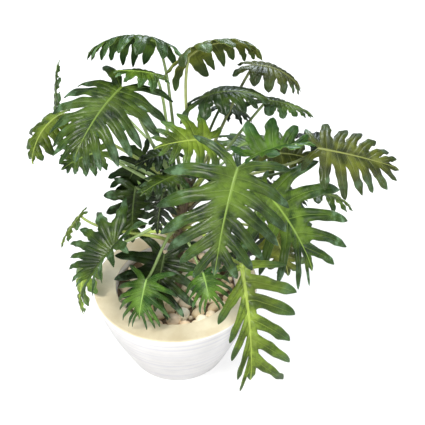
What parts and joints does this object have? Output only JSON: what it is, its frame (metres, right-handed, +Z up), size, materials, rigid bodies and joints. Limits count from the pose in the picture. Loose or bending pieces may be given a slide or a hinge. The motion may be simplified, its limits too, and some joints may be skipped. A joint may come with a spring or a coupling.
{
  "type": "philodendron selloum in a bowl planter",
  "caption": "Split-leaf philodendron with a short woody trunk and long-stalked, deeply lobed drooping leaves, in a round bowl planter topped with pebbles.",
  "frame": {"origin": "centre of the pot's flat foot", "axes": "+Z up, +Y towards the back of the plant, +X to the right seen from the front"},
  "size_m": [0.7815, 0.6592, 0.8148],
  "materials": {
    "pot": "satin, fine level streaks on a pale body, flat cream rim band",
    "soil": "damp, crumbly potting mix",
    "pebbles": "smooth river pebbles, cream to tan",
    "bark": "rough brown stem, ringed with old leaf scars",
    "leaf_green": "waxy living leaf, mid green with lighter ribs",
    "leaf_golden": "waxy living leaf, yellow green with lighter ribs",
    "leaf_fresh": "waxy young leaf, bright green with lighter ribs",
    "leaf_deep": "waxy living leaf, deep green with lighter ribs",
    "leaf_olive": "waxy living leaf, olive green with lighter ribs"
  },
  "bodies": {
    "root": {"pot": "pot", "soil": "soil", "pebbles": "pebbles", "trunk": "bark", "leaf_01": "leaf_green", "leaf_02": "leaf_green", "leaf_03": "leaf_golden", "leaf_04": "leaf_green", "leaf_05": "leaf_olive", "leaf_06": "leaf_olive", "leaf_07": "leaf_green", "leaf_08": "leaf_green", "leaf_09": "leaf_deep", "leaf_10": "leaf_golden", "leaf_11": "leaf_green", "leaf_12": "leaf_green", "leaf_13": "leaf_olive", "leaf_14": "leaf_fresh", "leaf_15": "leaf_deep", "leaf_16": "leaf_olive", "leaf_17": "leaf_golden", "leaf_18": "leaf_golden", "leaf_19": "leaf_green", "leaf_20": "leaf_golden", "leaf_21": "leaf_fresh", "leaf_22": "leaf_fresh", "leaf_23": "leaf_deep", "leaf_24": "leaf_deep", "leaf_25": "leaf_deep", "leaf_26": "leaf_deep", "leaf_27": "leaf_green", "leaf_28": "leaf_green", "leaf_29": "leaf_green", "leaf_30": "leaf_deep", "leaf_31": "leaf_olive", "leaf_32": "leaf_green", "leaf_33": "leaf_green", "leaf_34": "leaf_deep", "leaf_35": "leaf_green", "leaf_36": "leaf_deep", "leaf_37": "leaf_deep", "leaf_38": "leaf_golden"}
  },
  "joints": []
}
